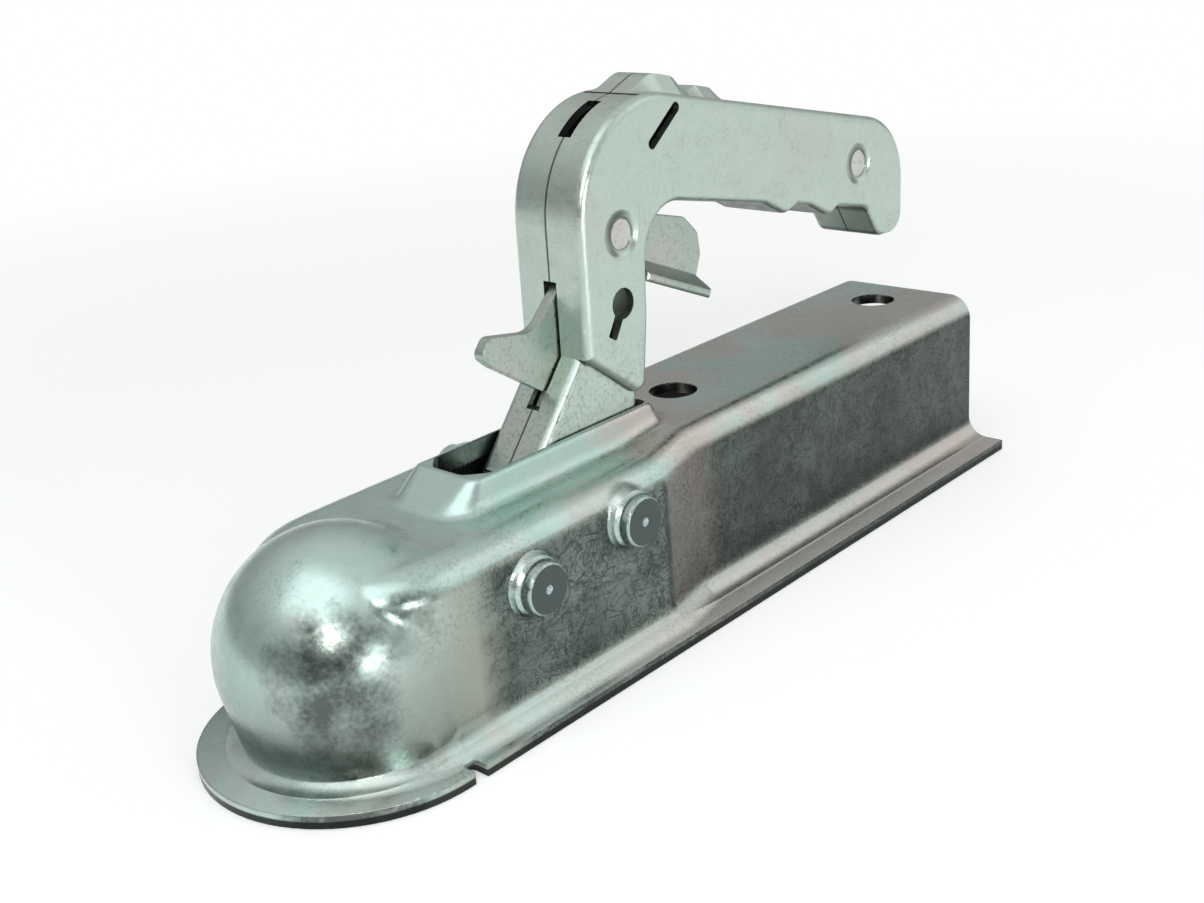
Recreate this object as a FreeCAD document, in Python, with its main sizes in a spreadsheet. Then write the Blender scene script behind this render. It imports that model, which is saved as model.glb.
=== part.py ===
"""Trailer coupling head for a 50 mm ball, pressed and riveted from zinc-plated sheet.

The frame has its origin at the centre of the ball socket. +X runs rearward along
the drawbar, +Z points up, and the underside of the flange is ball_height below it.
"""

import FreeCAD, Part
import math
import os
import Sketcher
from FreeCAD import Placement, Rotation, Vector

SIZES = [
    ("ball_radius", 25.0),
    ("socket_clearance", 0.2),
    ("socket_tilt", 13.0),
    ("ball_height", 24.0),
    ("sheet_thickness", 3.0),
    ("overall_rear", 233.0),
    ("flange_half_width", 36.5),
    ("flange_nose_centre", 1.7),
    ("flange_bend", 6.0),
    ("notch_centre", 5.0),
    ("notch_width", 3.6),
    ("notch_depth", 5.0),
    ("front_half_width", 28.4),
    ("front_top", 46.4),
    ("front_shoulder", 8.0),
    ("front_drum_centre", 12.0),
    ("waist_start", 81.0),
    ("waist_end", 97.0),
    ("rear_half_width", 24.8),
    ("rear_top", 48.0),
    ("rear_shoulder", 7.0),
    ("dome_crease_round", 5.0),
    ("collar_top", 53.0),
    ("collar_front", 26.0),
    ("collar_rear", 103.0),
    ("collar_half_width", 12.9),
    ("collar_front_bevel", 9.0),
    ("collar_rear_bevel", 4.5),
    ("collar_side_bevel", 2.3),
    ("collar_corner", 3.0),
    ("collar_corner_growth", 5.0),
    ("collar_foot_round", 4.0),
    ("collar_rim_round", 1.6),
    ("slot_front", 36.4),
    ("slot_rear", 97.5),
    ("slot_half_width", 9.3),
    ("slot_nose_half_width", 4.9),
    ("slot_corner", 2.5),
    ("bolt_hole_radius", 6.55),
    ("bolt_hole_first", 118.5),
    ("bolt_hole_spacing", 98.3),
    ("boss_height", 2.8),
    ("boss_radius", 6.6),
    ("boss_flare", 1.2),
    ("pin_radius", 5.0),
    ("pin_fit", 0.03),
    ("pin_running", 0.05),
    ("rivet_head_radius", 6.2),
    ("rivet_head_height", 2.4),
    ("rivet_head_chamfer", 0.5),
    ("rivet_dimple_radius", 1.1),
    ("claw_pin_x", 33.1),
    ("claw_pin_height", 33.0),
    ("handle_pin_x", 66.3),
    ("handle_pin_height", 36.8),
    ("side_gap", 0.3),
    ("jaw_thickness", 6.2),
    ("jaw_half_angle", 32.0),
    ("jaw_low_angle", 44.0),
    ("claw_half_width", 15.4),
    ("claw_ear", 5.0),
    ("claw_boss_radius", 8.0),
    ("claw_tail", 13.4),
    ("bush_wall", 1.0),
    ("spring_wire", 1.8),
    ("spring_end_width", 1.4),
    ("spring_low_end", 7.0),
    ("spring_top_end", 11.0),
    ("shell_thickness", 1.9),
    ("handle_half_width", 11.5),
    ("neck_half_width", 8.8),
    ("handle_edge_radius", 2.4),
    ("spine_front", 8.7),
    ("spine_depth", 22.6),
    ("spine_lean", 1.4),
    ("crown_height", 99.4),
    ("crown_radius", 28.0),
    ("grip_slope", 12.9),
    ("grip_depth", 26.4),
    ("grip_end", 150.4),
    ("grip_end_radius", 20.0),
    ("hook_depth", 12.0),
    ("hook_length", 19.0),
    ("elbow_radius", 12.0),
    ("tooth_depth", 2.7),
    ("tooth_first", 91.8),
    ("tooth_spacing", 20.5),
    ("bump_front", 35.5),
    ("bump_rise", 4.7),
    ("bump_half_width", 8.8),
    ("bump_ease", 3.3),
    ("crease_front", 33.4),
    ("crease_rear", 17.8),
    ("neck_radius", 14.9),
    ("neck_rivet_x", 23.4),
    ("neck_rivet_drop", 38.0),
    ("grip_rivet_x", 126.2),
    ("grip_rivet_drop", 13.6),
    ("small_rivet_radius", 3.8),
    ("lock_x", 22.1),
    ("lock_rise", 11.1),
    ("lock_radius", 3.9),
    ("lock_slot_length", 7.6),
    ("lock_slot_width", 3.2),
    ("lock_slot_angle", 59.0),
    ("vent_x", 41.4),
    ("vent_drop", 8.0),
    ("vent_length", 14.6),
    ("vent_width", 2.8),
    ("vent_angle", 37.2),
    ("window_back", 15.6),
    ("window_drop", 11.6),
    ("window_length", 13.6),
    ("window_height", 6.6),
    ("window_angle", 29.0),
    ("split_slot_side", 0.6),
    ("split_slot_low", 11.2),
    ("split_slot_height", 29.6),
    ("split_slot_depth", 26.0),
    ("cam_radius", 12.5),
    ("cam_reach", 19.4),
    ("cam_depth", 19.0),
    ("cam_lobe_height", 9.0),
    ("neck_open_height", 9.0),
    ("plate_half_thickness", 1.5),
    ("spacer_wall", 1.6),
    ("spacer_end_play", 1.0),
    ("indicator_eye", 8.5),
    ("indicator_waist_height", 26.4),
    ("indicator_beak_reach", 17.0),
    ("indicator_beak_height", 40.0),
    ("indicator_back", 20.4),
    ("indicator_top", 51.2),
    ("trigger_eye", 6.0),
    ("trigger_length", 41.5),
    ("trigger_drop", 22.5),
    ("trigger_arm", 21.0),
    ("trigger_pad_reach", 7.4),
    ("trigger_pad_drop", 4.6),
    ("trigger_lip_round", 1.2),
]

doc = FreeCAD.newDocument("coupling_head")
sheet = doc.addObject("Spreadsheet::Sheet", "Sizes")
for row, (alias, value) in enumerate(SIZES, 1):
    sheet.set(f"A{row}", alias)
    sheet.set(f"B{row}", str(value))
    sheet.setAlias(f"B{row}", alias)
doc.recompute()


def size(alias):
    """The value of a driving dimension."""
    return float(sheet.get(alias))


# Derived dimensions, each written once
SOCKET = size("ball_radius") + size("socket_clearance")
T = size("sheet_thickness")
BALL_Z = size("ball_height")
FRONT_INSIDE = size("front_half_width") - T
BOSS_FACE = size("front_half_width") + size("boss_height")
CLAW_PIN = (size("claw_pin_x"), size("claw_pin_height"))
HANDLE_PIN = (size("handle_pin_x"), size("handle_pin_height"))
PIN_BORE = size("pin_radius") + size("pin_running")
INNER_HALF = size("neck_half_width") - size("shell_thickness")
DOME = SOCKET + T


def grip_top(x):
    """Height of the grip's straight top line over the rear pin."""
    corner = size("spine_front") + size("spine_lean")
    return size("crown_height") - math.tan(math.radians(size("grip_slope"))) * (x - corner)


NECK_RIVET = (size("neck_rivet_x"), size("crown_height") - size("neck_rivet_drop"))
GRIP_RIVET = (size("grip_rivet_x"), grip_top(size("grip_rivet_x")) - size("grip_rivet_drop"))
LOCK_HOLE = (size("lock_x"), size("crease_front") + size("lock_rise"))


# Profiles


def rounded(corners):
    """Closed outline through corners (x, y, radius), with tangent arcs."""
    starts = []
    ends = []
    mids = []
    count = len(corners)
    for i in range(count):
        before = Vector(*corners[i - 1][:2], 0)
        here = Vector(*corners[i][:2], 0)
        after = Vector(*corners[(i + 1) % count][:2], 0)
        radius = corners[i][2]
        to_before = (before - here).normalize()
        to_after = (after - here).normalize()
        half = to_before.getAngle(to_after) / 2
        reach = radius / math.tan(half)
        starts.append(here + to_before * reach)
        ends.append(here + to_after * reach)
        inward = (to_before + to_after).normalize()
        mids.append(here + inward * (radius / math.sin(half) - radius))
    edges = []
    for i in range(count):
        if corners[i][2] > 0:
            edges.append(Part.Arc(starts[i], mids[i], ends[i]))
        follow = starts[(i + 1) % count]
        if ends[i].distanceToPoint(follow) > 1e-6:
            edges.append(Part.LineSegment(ends[i], follow))
    return edges


def circle(x, y, radius):
    """One round outline."""
    return [Part.Circle(Vector(x, y, 0), Vector(0, 0, 1), radius)]


def inset(edges, distance):
    """The same outline moved inward by a wall's thickness."""
    wire = Part.Wire(Part.__sortEdges__([edge.toShape() for edge in edges]))
    result = []
    for edge in wire.makeOffset2D(-distance).Edges:
        first = edge.valueAt(edge.FirstParameter)
        last = edge.valueAt(edge.LastParameter)
        if edge.Curve.TypeId == "Part::GeomLine":
            result.append(Part.LineSegment(first, last))
        else:
            middle = edge.valueAt((edge.FirstParameter + edge.LastParameter) / 2)
            result.append(Part.Arc(first, middle, last))
    return result


# Features


def new_body(label, place=None):
    """A sub-part built from the flange's underside, lowered by the ball height."""
    body = doc.addObject("PartDesign::Body", label)
    body.Label = label
    x, z = place if place else (0.0, 0.0)
    body.Placement = Placement(Vector(x, 0, z - BALL_Z), Rotation())
    return body


def lower(body, x_name=None, z_name=None):
    """Ties the sub-part's place to the sheet."""
    if x_name:
        body.setExpression("Placement.Base.x", f"Sizes.{x_name}")
        body.setExpression("Placement.Base.z", f"Sizes.{z_name} - Sizes.ball_height")
    else:
        body.setExpression("Placement.Base.z", "-Sizes.ball_height")


def sketch_on(body, role, outlines, offset=0.0, axis=None):
    """A sketch on one of the body's own planes, moved along its normal."""
    plane = [item for item in body.Origin.OriginFeatures if item.Role == role][0]
    sketch = body.newObject("Sketcher::SketchObject", body.Label + "_sketch")
    sketch.AttachmentSupport = (plane, "")
    sketch.MapMode = "FlatFace"
    sketch.AttachmentOffset = Placement(Vector(0, 0, offset), Rotation())
    for outline in outlines:
        sketch.addGeometry(outline, False)
    if axis:
        start, end = axis
        line = Part.LineSegment(Vector(*start, 0), Vector(*end, 0))
        sketch.addGeometry(line, True)
    return sketch


def pad(body, sketch, length, midplane=False, reverse=False):
    """Material added along the sketch's normal."""
    feature = body.newObject("PartDesign::Pad", body.Label + "_pad")
    feature.Profile = sketch
    bind_length(feature, length)
    feature.SideType = "Symmetric" if midplane else "One side"
    feature.Reversed = reverse
    return feature


def pocket(body, sketch, length, midplane=False, reverse=False):
    """Material cut against the sketch's normal."""
    feature = body.newObject("PartDesign::Pocket", body.Label + "_pocket")
    feature.Profile = sketch
    bind_length(feature, length)
    feature.SideType = "Symmetric" if midplane else "One side"
    feature.Reversed = reverse
    return feature


def bind_length(feature, length):
    """A length is a number or a formula of the sheet's names."""
    if isinstance(length, str):
        feature.setExpression("Length", length)
    else:
        feature.Length = length


def turn(body, kind, sketch):
    """A form turned about the sketch's own construction line."""
    feature = body.newObject("PartDesign::" + kind, body.Label + "_turned")
    feature.Profile = sketch
    feature.ReferenceAxis = (sketch, ["Axis0"])
    feature.Angle = 360.0
    return feature


def loft(body, kind, sketches):
    """A ruled form through two like outlines."""
    feature = body.newObject("PartDesign::" + kind, body.Label + "_loft")
    feature.Profile = sketches[0]
    feature.Sections = sketches[1:]
    feature.Ruled = True
    return feature


def fillet(body, base, edges, radius_name):
    """A rounding along named edges of the form so far."""
    feature = body.newObject("PartDesign::Fillet", body.Label + "_round")
    feature.Base = (base, edges)
    feature.setExpression("Radius", f"Sizes.{radius_name}")
    return feature


def pick_edges(shape, wanted):
    """Names of the edges that pass a test."""
    return [f"Edge{i}" for i, edge in enumerate(shape.Edges, 1) if wanted(edge)]


# Pressed housing


def hat(half_width, top, shoulder, bend, depth):
    """Cross-section of the pressed channel: depth 0 is its outside, the sheet its inside."""
    wide = half_width - depth
    high = top - depth
    round_top = max(shoulder - depth, 0.5)
    foot = bend + depth
    base = T - depth
    floor = -1.0 if depth else 0.0
    corners = [
        (-wide - foot, floor, 0),
        (wide + foot, floor, 0),
        (wide + foot, base, 0),
        (wide, base, foot),
        (wide, high, round_top),
        (-wide, high, round_top),
        (-wide, base, foot),
        (-wide - foot, base, 0),
    ]
    return rounded(corners)


def half_hat(centre, half_width, top, shoulder, bend, depth):
    """The same section, cut at the middle, to turn about an upright axis."""
    wide = half_width - depth
    high = top - depth
    round_top = max(shoulder - depth, 0)
    foot = bend + depth
    base = T - depth
    floor = -1.0 if depth else 0.0
    corners = [
        (centre, floor, 0),
        (centre + wide + foot, floor, 0),
        (centre + wide + foot, base, 0),
        (centre + wide, base, foot),
        (centre + wide, high, round_top),
        (centre, high, 0),
    ]
    return rounded(corners)


def capsule(radius, length):
    """Half outline and axis of the ball's way in: a sphere and the path below it."""
    tilt = math.radians(size("socket_tilt"))
    down = Vector(math.sin(tilt), -math.cos(tilt), 0)
    side = Vector(-math.cos(tilt), -math.sin(tilt), 0)
    centre = Vector(0, BALL_Z, 0)
    pole = centre - down * radius
    middle = centre + (side - down) * (radius * math.sqrt(0.5))
    flank = centre + side * radius
    corner = flank + down * length
    foot = centre + down * length
    outline = [
        Part.Arc(pole, middle, flank),
        Part.LineSegment(flank, corner),
        Part.LineSegment(corner, foot),
        Part.LineSegment(foot, pole),
    ]
    return outline, ((pole.x, pole.y), (foot.x, foot.y))


def press_form(body, depth):
    """The whole pressed shape, outside at depth 0 and inside at the sheet's thickness."""
    kind = "Subtractive" if depth else "Additive"
    turned = "Groove" if depth else "Revolution"
    push = pocket if depth else pad
    front = (size("front_half_width"), size("front_top"), size("front_shoulder"))
    rear = (size("rear_half_width"), size("rear_top"), size("rear_shoulder"))
    bend = size("flange_bend")
    drum = size("front_drum_centre")
    side_gap = size("side_gap")

    # Channel in front of the waist
    section = sketch_on(body, "YZ_Plane", [hat(*front, bend, depth)], drum)
    push(body, section, size("waist_start") - drum, reverse=bool(depth))
    # Rounded end of that channel under the dome
    outline = half_hat(drum, *front, bend, depth)
    axis = ((drum, 0), (drum, size("front_top")))
    turn(body, turned, sketch_on(body, "XZ_Plane", [outline], axis=axis))
    # Dome over the ball, and the tilted way in below it
    outline, axis = capsule(DOME - depth, BALL_Z + bend)
    turn(body, turned, sketch_on(body, "XZ_Plane", [outline], axis=axis))
    # Bend from the cup to the flange
    cup_foot = BALL_Z * math.tan(math.radians(size("socket_tilt")))
    low_top = T + bend + depth
    outline = half_hat(cup_foot, DOME - side_gap, low_top, 0, bend, depth)
    axis = ((cup_foot, 0), (cup_foot, low_top))
    turn(body, turned, sketch_on(body, "XZ_Plane", [outline], axis=axis))
    # Waist between the two widths
    first = sketch_on(body, "YZ_Plane", [hat(*front, bend, depth)], size("waist_start"))
    last = sketch_on(body, "YZ_Plane", [hat(*rear, bend, depth)], size("waist_end"))
    loft(body, kind + "Loft", [first, last])
    # Long channel that takes the drawbar
    section = sketch_on(body, "YZ_Plane", [hat(*rear, bend, depth)], size("waist_end"))
    run = size("overall_rear") - size("waist_end")
    push(body, section, run + (1.0 if depth else 0.0), reverse=bool(depth))


def collar_outline(height, depth):
    """Plan of the raised collar at one height, on its outside or inside face."""
    rise = size("collar_top") - size("front_top")
    level = (height - size("front_top")) / rise
    front = size("collar_front") + size("collar_front_bevel") * level + depth
    rear = size("collar_rear") - size("collar_rear_bevel") * level - depth
    half = size("collar_half_width") - size("collar_side_bevel") * level - depth
    corner = size("collar_corner") + size("collar_corner_growth") * (1.0 - level)
    corner = min(corner, half * 0.9)
    corners = [
        (front, -half, corner),
        (rear, -half, corner),
        (rear, half, corner),
        (front, half, corner),
    ]
    return rounded(corners)


def collar(body, depth):
    """Raised collar that stiffens the rim of the handle's slot."""
    kind = "SubtractiveLoft" if depth else "AdditiveLoft"
    bottom = size("front_top") - T - 1.0
    top = size("collar_top") - depth
    low = sketch_on(body, "XY_Plane", [collar_outline(bottom, depth)], bottom)
    high = sketch_on(body, "XY_Plane", [collar_outline(top, depth)], top)
    loft(body, kind, [low, high])


def flange_outline():
    """Plan of the flange: straight sides and a round nose."""
    half = size("flange_half_width")
    nose = size("flange_nose_centre")
    rear = size("overall_rear")
    return [
        Part.Arc(Vector(nose, half, 0), Vector(nose - half, 0, 0), Vector(nose, -half, 0)),
        Part.LineSegment(Vector(nose, -half, 0), Vector(rear, -half, 0)),
        Part.LineSegment(Vector(rear, -half, 0), Vector(rear, half, 0)),
        Part.LineSegment(Vector(rear, half, 0), Vector(nose, half, 0)),
    ]


def boss_outline(pin, depth):
    """Half section of the raised seats under one rivet's two heads."""
    x = pin[0]
    face = BOSS_FACE - depth
    wall = size("front_half_width") - depth - 0.5
    radius = size("boss_radius") - depth * 0.4
    foot = radius + size("boss_flare")
    points = [(x, -face), (x + radius, -face), (x + foot, -wall)]
    points += [(x + foot, wall), (x + radius, face), (x, face)]
    outline = rounded([(px, py, 0) for px, py in points])
    return outline, ((x, -face), (x, face))


def notch_outline(side):
    """Open notch in the flange's edge, with a round inner end."""
    half = size("notch_width") / 2
    x = size("notch_centre")
    edge = size("flange_half_width")
    inner = edge - size("notch_depth")
    corners = [
        (x - half, side * (edge + 2.0), 0),
        (x - half, side * inner, half * 0.98),
        (x + half, side * inner, half * 0.98),
        (x + half, side * (edge + 2.0), 0),
    ]
    return rounded(corners)


def slot_outline():
    """Punched slot for the handle, narrowed at its front end."""
    front = size("slot_front")
    rear = size("slot_rear")
    half = size("slot_half_width")
    nose = size("slot_nose_half_width")
    taper = half - nose
    corner = size("slot_corner")
    corners = [
        (front, -nose, corner),
        (front + taper, -half, corner),
        (rear, -half, corner),
        (rear, half, corner),
        (front + taper, half, corner),
        (front, nose, corner),
    ]
    return rounded(corners)


def dome_crease(edge):
    """Whether an edge is where the dome leaves the plateau."""
    middle = edge.valueAt((edge.FirstParameter + edge.LastParameter) / 2)
    box = edge.BoundBox
    level = abs(box.ZMin - size("front_top")) < 1e-3 and abs(box.ZMax - size("front_top")) < 1e-3
    return level and abs(middle.distanceToPoint(Vector(0, 0, BALL_Z)) - DOME) < 1e-2


def collar_foot(edge):
    """Whether an edge is where the collar rises from the plateau."""
    box = edge.BoundBox
    level = abs(box.ZMin - size("front_top")) < 1e-3 and abs(box.ZMax - size("front_top")) < 1e-3
    inside = box.YMax < size("collar_half_width") + 0.1 and box.YMin > -size("collar_half_width") - 0.1
    return level and inside and box.XMin > size("collar_front") - 0.1 and box.XMax < size("waist_start") + 0.1


def collar_rim(edge):
    """Whether an edge bounds the collar's flat top."""
    return edge.BoundBox.ZMin > size("collar_top") - 1e-3


def round_edges(body, wanted, radius_name):
    """Rounds the edges of the form so far that pass a test."""
    doc.recompute()
    base = body.Tip
    fillet(body, base, pick_edges(base.Shape, wanted), radius_name)


def make_housing():
    """Pressed housing: one folded sheet, drawn into a dome over the ball."""
    body = new_body("housing")
    flange = sketch_on(body, "XY_Plane", [flange_outline()])
    pad(body, flange, "Sizes.sheet_thickness")
    press_form(body, 0.0)
    collar(body, 0.0)
    round_edges(body, dome_crease, "dome_crease_round")
    round_edges(body, collar_foot, "collar_foot_round")
    round_edges(body, collar_rim, "collar_rim_round")
    for pin in (CLAW_PIN, HANDLE_PIN):
        outline, axis = boss_outline(pin, 0.0)
        turn(body, "Revolution", sketch_on(body, "XY_Plane", [outline], pin[1], axis))
    # Nothing is left under the flange
    half = size("flange_half_width") + 5.0
    rear = size("overall_rear") + 5.0
    corners = [(-half, -half, 0), (rear, -half, 0), (rear, half, 0), (-half, half, 0)]
    below = sketch_on(body, "XY_Plane", [rounded(corners)])
    pocket(body, below, BALL_Z)
    press_form(body, T)
    collar(body, T)
    for pin in (CLAW_PIN, HANDLE_PIN):
        outline, axis = boss_outline(pin, T)
        turn(body, "Groove", sketch_on(body, "XY_Plane", [outline], pin[1], axis))
    above = size("collar_top") + 5.0
    slot = sketch_on(body, "XY_Plane", [slot_outline()], above)
    pocket(body, slot, above - size("front_top") + 2 * T)
    first = size("bolt_hole_first")
    radius = size("bolt_hole_radius")
    holes = [circle(first + i * size("bolt_hole_spacing"), 0, radius) for i in (0, 1)]
    bolts = sketch_on(body, "XY_Plane", holes, above)
    pocket(body, bolts, above - size("rear_top") + 2 * T)
    notches = sketch_on(body, "XY_Plane", [notch_outline(side) for side in (-1, 1)], T)
    pocket(body, notches, "Sizes.sheet_thickness")
    bore = size("pin_radius") + size("pin_fit")
    pins = sketch_on(body, "XZ_Plane", [circle(*CLAW_PIN, bore), circle(*HANDLE_PIN, bore)])
    pocket(body, pins, 2 * BOSS_FACE + 4.0, midplane=True)
    lower(body)
    return body


# Rivets and spacers


def make_rivet(label, pin, names):
    """Rivet through both walls, with a chamfered head at each end."""
    body = new_body(label, pin)
    shank = size("pin_radius")
    head = size("rivet_head_radius")
    face = BOSS_FACE
    end = face + size("rivet_head_height")
    edge = size("rivet_head_chamfer")
    dimple = size("rivet_dimple_radius")
    points = [
        (0, -end + dimple),
        (dimple, -end),
        (head - edge, -end),
        (head, -end + edge),
        (head, -face),
        (shank, -face),
        (shank, face),
        (head, face),
        (head, end - edge),
        (head - edge, end),
        (dimple, end),
        (0, end - dimple),
    ]
    outline = rounded([(x, y, 0) for x, y in points])
    turn(body, "Revolution", sketch_on(body, "XY_Plane", [outline], 0.0, ((0, -end), (0, end))))
    lower(body, *names)
    return body


def make_ring(label, pin, names, inner, outer, start, end):
    """Plain ring or sleeve on a pin, between two places along Y."""
    body = new_body(label, pin)
    outlines = [circle(0, 0, outer), circle(0, 0, inner)]
    ring = sketch_on(body, "XZ_Plane", outlines, -end)
    pad(body, ring, end - start)
    lower(body, *names)
    return body


# Ball claw


def make_claw():
    """Forged claw that closes behind the ball and hangs on the front rivet."""
    body = new_body("ball_claw")
    x, z = CLAW_PIN
    boss = size("claw_boss_radius")
    reach = SOCKET + size("jaw_thickness")
    low = math.radians(size("jaw_low_angle"))
    tip = (reach * math.cos(low), BALL_Z - reach * math.sin(low))
    tail = x + size("claw_tail")
    corners = [
        (x - boss, z + boss, boss * 0.98),
        (x + boss, z + boss, boss * 0.98),
        (tail, z - 4.0, 3.0),
        (tail, z - 17.0, 4.0),
        (tip[0] + 4.0, tip[1] + 3.0, 4.0),
        (tip[0] - 2.0, tip[1] + 1.0, 1.0),
        (x - boss, BALL_Z, 1.0),
    ]
    ears = sketch_on(body, "XZ_Plane", [rounded(corners)])
    pad(body, ears, "2 * Sizes.claw_half_width", midplane=True)
    # Jaw turned about the ball's upright axis, wider than the ears' web
    inner = SOCKET - 3.0
    jaw = [
        Vector(inner * math.cos(low), BALL_Z - inner * math.sin(low), 0),
        Vector(reach * math.cos(low), BALL_Z - reach * math.sin(low), 0),
        Vector(reach * math.cos(low / 2), BALL_Z - reach * math.sin(low / 2), 0),
        Vector(reach, BALL_Z, 0),
        Vector(inner, BALL_Z, 0),
    ]
    outline = [
        Part.LineSegment(jaw[0], jaw[1]),
        Part.Arc(jaw[1], jaw[2], jaw[3]),
        Part.LineSegment(jaw[3], jaw[4]),
        Part.LineSegment(jaw[4], jaw[0]),
    ]
    sketch = sketch_on(body, "XZ_Plane", [outline], axis=((0, 0), (0, BALL_Z)))
    feature = turn(body, "Revolution", sketch)
    feature.Midplane = True
    feature.Angle = 2 * size("jaw_half_angle")
    # Room for the ball
    radius = SOCKET + 0.05
    half_ball = [
        Part.Arc(
            Vector(0, BALL_Z - radius, 0),
            Vector(radius, BALL_Z, 0),
            Vector(0, BALL_Z + radius, 0),
        ),
        Part.LineSegment(Vector(0, BALL_Z + radius, 0), Vector(0, BALL_Z - radius, 0)),
    ]
    axis = ((0, BALL_Z - radius), (0, BALL_Z + radius))
    turn(body, "Groove", sketch_on(body, "XZ_Plane", [half_ball], axis=axis))
    # Gap between the ears for the spring
    gap = boss + 1.6
    corners = [
        (x - gap, z - gap, gap * 0.6),
        (x + gap + 6.0, z - gap, gap * 0.6),
        (x + gap + 6.0, z + gap, 0),
        (x - gap, z + gap, 0),
    ]
    middle = sketch_on(body, "XZ_Plane", [rounded(corners)])
    pocket(body, middle, 2 * (size("claw_half_width") - size("claw_ear")), midplane=True)
    bore = PIN_BORE + size("bush_wall")
    hole = sketch_on(body, "XZ_Plane", [circle(x, z, bore)])
    pocket(body, hole, 4 * size("claw_half_width"), midplane=True)
    lower(body)
    return body


def make_spring(radius, half_length, ends):
    """Torsion spring round the claw's bush: closed coils as a plain sleeve, and two straight ends."""
    body = new_body("claw_spring", CLAW_PIN)
    wire = size("spring_wire")
    coils = [circle(0, 0, radius + wire / 2), circle(0, 0, radius - wire / 2)]
    pad(body, sketch_on(body, "XZ_Plane", coils), 2 * half_length, midplane=True)
    for (start, angle, length), side in zip(ends, (half_length, wire - half_length)):
        way = Vector(math.cos(math.radians(angle)), math.sin(math.radians(angle)), 0)
        middle = Vector(*start, 0) + way * (length / 2)
        strip = rectangle(middle.x, middle.y, length, size("spring_end_width"), angle, 0)
        pad(body, sketch_on(body, "XZ_Plane", [strip], -side), wire)
    lower(body, "claw_pin_x", "claw_pin_height")
    return body


# Handle


def handle_corners():
    """Side outline of the wide upper handle, from the rear pin."""
    front = size("spine_front")
    crown = (front + size("spine_lean"), size("crown_height"))
    end = size("grip_end")
    top_at_end = grip_top(end)
    hook_low = top_at_end - size("grip_depth") - size("hook_depth") + 5.8
    rear = front + size("spine_depth")
    inner_x = rear + 2.0
    hook_x = end - size("hook_length")
    corners = [
        (front, size("crease_front"), 0),
        (crown[0], crown[1], size("crown_radius")),
        (end + 0.4, top_at_end, size("grip_end_radius")),
        (end - 0.6, hook_low, 6.0),
        (hook_x + 6.5, hook_low + 0.5, 4.2),
        (hook_x, grip_low(hook_x), 5.0),
    ]
    for index in (1, 0):
        corners += finger_tooth(size("tooth_first") + index * size("tooth_spacing"))
    corners += [
        (inner_x, grip_low(inner_x), size("elbow_radius")),
        (rear + 0.6, size("crease_front") + 6.0, 20.0),
        (rear - 2.6, size("crease_rear"), 3.0),
    ]
    return corners


def grip_low(x):
    """Height of the grip's underside over the rear pin."""
    return grip_top(x) - size("grip_depth")


def finger_tooth(x):
    """One low tooth under the grip: steep behind and easy in front."""
    return [
        (x + 4.5, grip_low(x + 4.5), 3.0),
        (x, grip_low(x) - size("tooth_depth"), 3.4),
        (x - 9.0, grip_low(x - 9.0), 9.0),
    ]


def bump_outline(share):
    """Two raised bumps on top of the grip at a share of their height, from just inside the wall."""
    start = size("bump_front")
    rise = size("bump_rise")
    sunk = -1.0
    steps = [
        (0.0, sunk, 0),
        (9.0, rise, 7.0),
        (17.0, rise - 0.2, 4.0),
        (21.5, 0.9, 2.4),
        (26.0, rise * 0.64, 2.4),
        (31.5, rise * 0.62, 4.0),
        (38.0, sunk, 0),
    ]
    corners = []
    for x, z, corner in steps:
        height = grip_top(start + x) + sunk + (z - sunk) * share
        corners.append((start + x, height, corner))
    return rounded(corners)


def neck_corners():
    """Side outline of the narrow neck, down to its round end on the rear pin."""
    front = size("spine_front")
    crease = size("crease_front")
    radius = size("neck_radius")
    rear = front + size("spine_depth") - 2.6
    # Tangent from the crease's front end to the round end
    distance = math.hypot(front, crease)
    lean = math.atan2(crease, front) + math.acos(radius / distance)
    touch = (radius * math.cos(lean), radius * math.sin(lean))
    low = math.radians(-35.0)
    return touch, rear, low


def neck_outline():
    """Neck outline as lines and one arc about the rear pin."""
    touch, rear, low = neck_corners()
    radius = size("neck_radius")
    front = size("spine_front")
    crease = size("crease_front")
    middle_angle = (math.atan2(touch[1], touch[0]) + 2 * math.pi + low) / 2
    start = Vector(touch[0], touch[1], 0)
    middle = Vector(radius * math.cos(middle_angle), radius * math.sin(middle_angle), 0)
    end = Vector(radius * math.cos(low), radius * math.sin(low), 0)
    heel = Vector(rear - 1.5, size("crease_rear") - 9.0, 0)
    corner = Vector(rear, size("crease_rear") + 1.0, 0)
    inside = Vector(rear, crease, 0)
    top = Vector(front, crease, 0)
    return [
        Part.Arc(start, middle, end),
        Part.LineSegment(end, heel),
        Part.LineSegment(heel, corner),
        Part.LineSegment(corner, inside),
        Part.LineSegment(inside, top),
        Part.LineSegment(top, start),
    ]


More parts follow.
